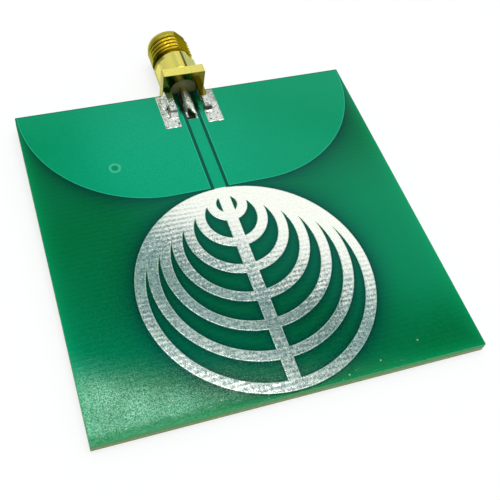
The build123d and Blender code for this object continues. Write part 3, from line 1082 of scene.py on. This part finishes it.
# Floor: tilted a little, because the part rests on its lower legs and on the board's front edge
def make_floor():
    lacquer_bottom_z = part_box("solder_mask_bottom")[0].z / MM
    front = Vector((0.0, board_low.y, lacquer_bottom_z))
    rear = Vector((0.0, leg_end_y, pad_low.z - leg_height))
    slope = (rear.z - front.z) / (rear.y - front.y)
    gap = 0.01
    reach = 900.0
    lift_to_white = 0.7
    corners = []
    for sx, sy in ((-1, -1), (1, -1), (1, 1), (-1, 1)):
        y = sy * reach
        corners.append((sx * reach, y, front.z + slope * (y - front.y) - gap))
    floor = new_piece("floor", corners, [(0, 1, 2, 3)])
    shader = Shader("floor_paper")
    speckle = shader.noise(0.4, 3.0)
    tone = shader.mix(speckle, (0.93, 0.93, 0.93), (0.95, 0.95, 0.95))
    shader.surface(Base_Color=tone, Roughness=0.9, Specular_IOR_Level=0.1)
    # the camera sees it lifted towards white, with the shadow kept
    rays = shader.nodes.new("ShaderNodeLightPath")
    glow = shader.nodes.new("ShaderNodeEmission")
    glow.inputs["Strength"].default_value = 1.0
    lift = shader.mul(rays.outputs["Is Camera Ray"], lift_to_white)
    principled = next(n for n in shader.nodes if n.type == "BSDF_PRINCIPLED")
    lifted = shader.blend(lift, principled.outputs[0], glow.outputs[0])
    shader.links.new(lifted, shader.output.inputs["Surface"])
    floor.data.materials.append(shader.material)


# Light: a soft box overhead, in millimetres from the jack. Its far edge runs across the room
# at a slant, so that its reflection ends in a slanted line on the front left of the board.
soft_box_height = 400.0
soft_box_turn = radians(-29)
soft_box_far = 123.0
soft_box_depth = 266.0
soft_box_width = 330.0
soft_box_middle = -5.0
soft_box_radiance = 3.15


def make_soft_box():
    data = bpy.data.lights.new("soft_box", "AREA")
    data.shape = "RECTANGLE"
    data.size = soft_box_width * MM
    data.size_y = soft_box_depth * MM
    data.energy = soft_box_radiance * pi * data.size * data.size_y
    lamp = bpy.data.objects.new("soft_box", data)
    place = Vector((soft_box_middle, soft_box_far - soft_box_depth / 2, soft_box_height))
    lamp.location = Matrix.Rotation(soft_box_turn, 3, "Z") @ place * MM
    lamp.rotation_euler = (0.0, 0.0, soft_box_turn)
    bpy.context.collection.objects.link(lamp)


# Room: pale walls up to about 47 degrees, dimmer to the part's left, and above them a dusky part
# with one window, behind the part and to its right. Its edges are rises and sides per distance.
window_heading = radians(33)
window_sides = (-0.50, -0.36, 0.32, 0.42)
window_rises = (tan(radians(45.0)), tan(radians(46.8)), tan(radians(54.4)), tan(radians(57.8)))
window_arch = 1.0
window_radiance = 1.13
wall_top = (0.719, 0.742)
wall_top_lean = 0.1
wall_radiance = 0.82
dim_heading = radians(-110)
dim_radiance = 0.28
dim_spread = (0.3, 0.8)
dusk = ((0.05, 0.14, 0.14), (0.34, 0.54, 0.53))
lamp_glow = (0.64, 0.73, 0.71)
lamp_glow_edge = (0.60, 0.475)
clutter_scale = 22.0
clutter_edge = (0.42, 0.58)


def make_world():
    world = bpy.data.worlds.new("room")
    bpy.context.scene.world = world
    world.use_nodes = True
    tree = NodeTree(world.node_tree, "Generated")
    x, y, z = tree.split(tree.place)
    across = tree.math("SQRT", tree.sub(1.0, tree.mul(z, z)))

    def toward(heading):
        """How far a direction goes along a heading on the floor."""
        return tree.add(tree.mul(y, cos(heading)), tree.mul(x, sin(heading)))

    def between(value, edges):
        """1 between the two inner edges and 0 outside the outer ones."""
        rising = tree.fade(value, edges[0], edges[1])
        return tree.mul(rising, tree.fade(value, edges[3], edges[2]))

    ahead = tree.high(toward(window_heading), 0.001)
    side = tree.div(toward(window_heading + pi / 2), ahead)
    arch = tree.mul(tree.mul(side, side), window_arch)
    rise = tree.add(tree.div(z, ahead), arch)
    in_window = tree.mul(between(rise, window_rises), between(side, window_sides))
    toward_dim = tree.div(toward(dim_heading), tree.high(across, 0.001))
    wall = tree.fade(toward_dim, *dim_spread, wall_radiance, dim_radiance)
    upward = tree.fade(tree.add(z, tree.mul(x, wall_top_lean)), *wall_top)
    # the soft box lights up the ceiling round it, to a little past its far edge
    past_lamp = tree.div(toward(-soft_box_turn), tree.high(z, 0.001))
    near_lamp = tree.fade(past_lamp, *lamp_glow_edge)
    cluttered = tree.fade(tree.noise(clutter_scale), *clutter_edge)

    def background(colour, strength):
        node = tree.nodes.new("ShaderNodeBackground")
        node.inputs["Color"].default_value = (*colour, 1.0)
        tree.put(node.inputs["Strength"], strength)
        return node.outputs[0]

    white = (1.0, 1.0, 1.0)
    dusky = tree.blend(cluttered, background(dusk[0], 1.0), background(dusk[1], 1.0))
    room = tree.blend(near_lamp, dusky, background(lamp_glow, 1.0))
    room = tree.blend(upward, background(white, wall), room)
    room = tree.blend(in_window, room, background(white, window_radiance))
    rays = tree.nodes.new("ShaderNodeLightPath")
    seen = tree.blend(rays.outputs["Is Camera Ray"], room, background(white, 1.0))
    output = tree.nodes.new("ShaderNodeOutputWorld")
    tree.links.new(seen, output.inputs["Surface"])


# Camera at the photograph's place: solved from the board's corners, in millimetres and degrees
camera_place = Vector((board_low.x, board_low.y, copper_top_z)) + Vector((-3.79, -31.91, 85.42))
camera_heading = 25.42
camera_pitch = 54.80
camera_roll = 9.72
# focal length and optical centre, in pixels of the 500 x 500 frame
frame_size = 500
focal_length = 798.0
optical_centre = (220.0, 243.0)


def make_camera():
    heading, pitch = radians(camera_heading), radians(camera_pitch)
    forward = Vector((sin(heading) * cos(pitch), cos(heading) * cos(pitch), -sin(pitch)))
    level_right = Vector((cos(heading), -sin(heading), 0.0))
    right = Matrix.Rotation(-radians(camera_roll), 3, forward) @ level_right
    up = right.cross(forward)
    data = bpy.data.cameras.new("camera")
    data.sensor_width = 36.0
    data.lens = data.sensor_width * focal_length / frame_size
    data.shift_x = (frame_size / 2 - optical_centre[0]) / frame_size
    data.shift_y = (optical_centre[1] - frame_size / 2) / frame_size
    data.clip_start = 0.005
    data.clip_end = 10.0
    camera = bpy.data.objects.new("camera", data)
    bpy.context.collection.objects.link(camera)
    turn = Matrix((right, up, -forward)).transposed()
    camera.matrix_world = Matrix.Translation(camera_place * MM) @ turn.to_4x4()
    bpy.context.scene.camera = camera


make_floor()
make_soft_box()
make_world()
make_camera()
bpy.context.scene.view_settings.view_transform = "Standard"
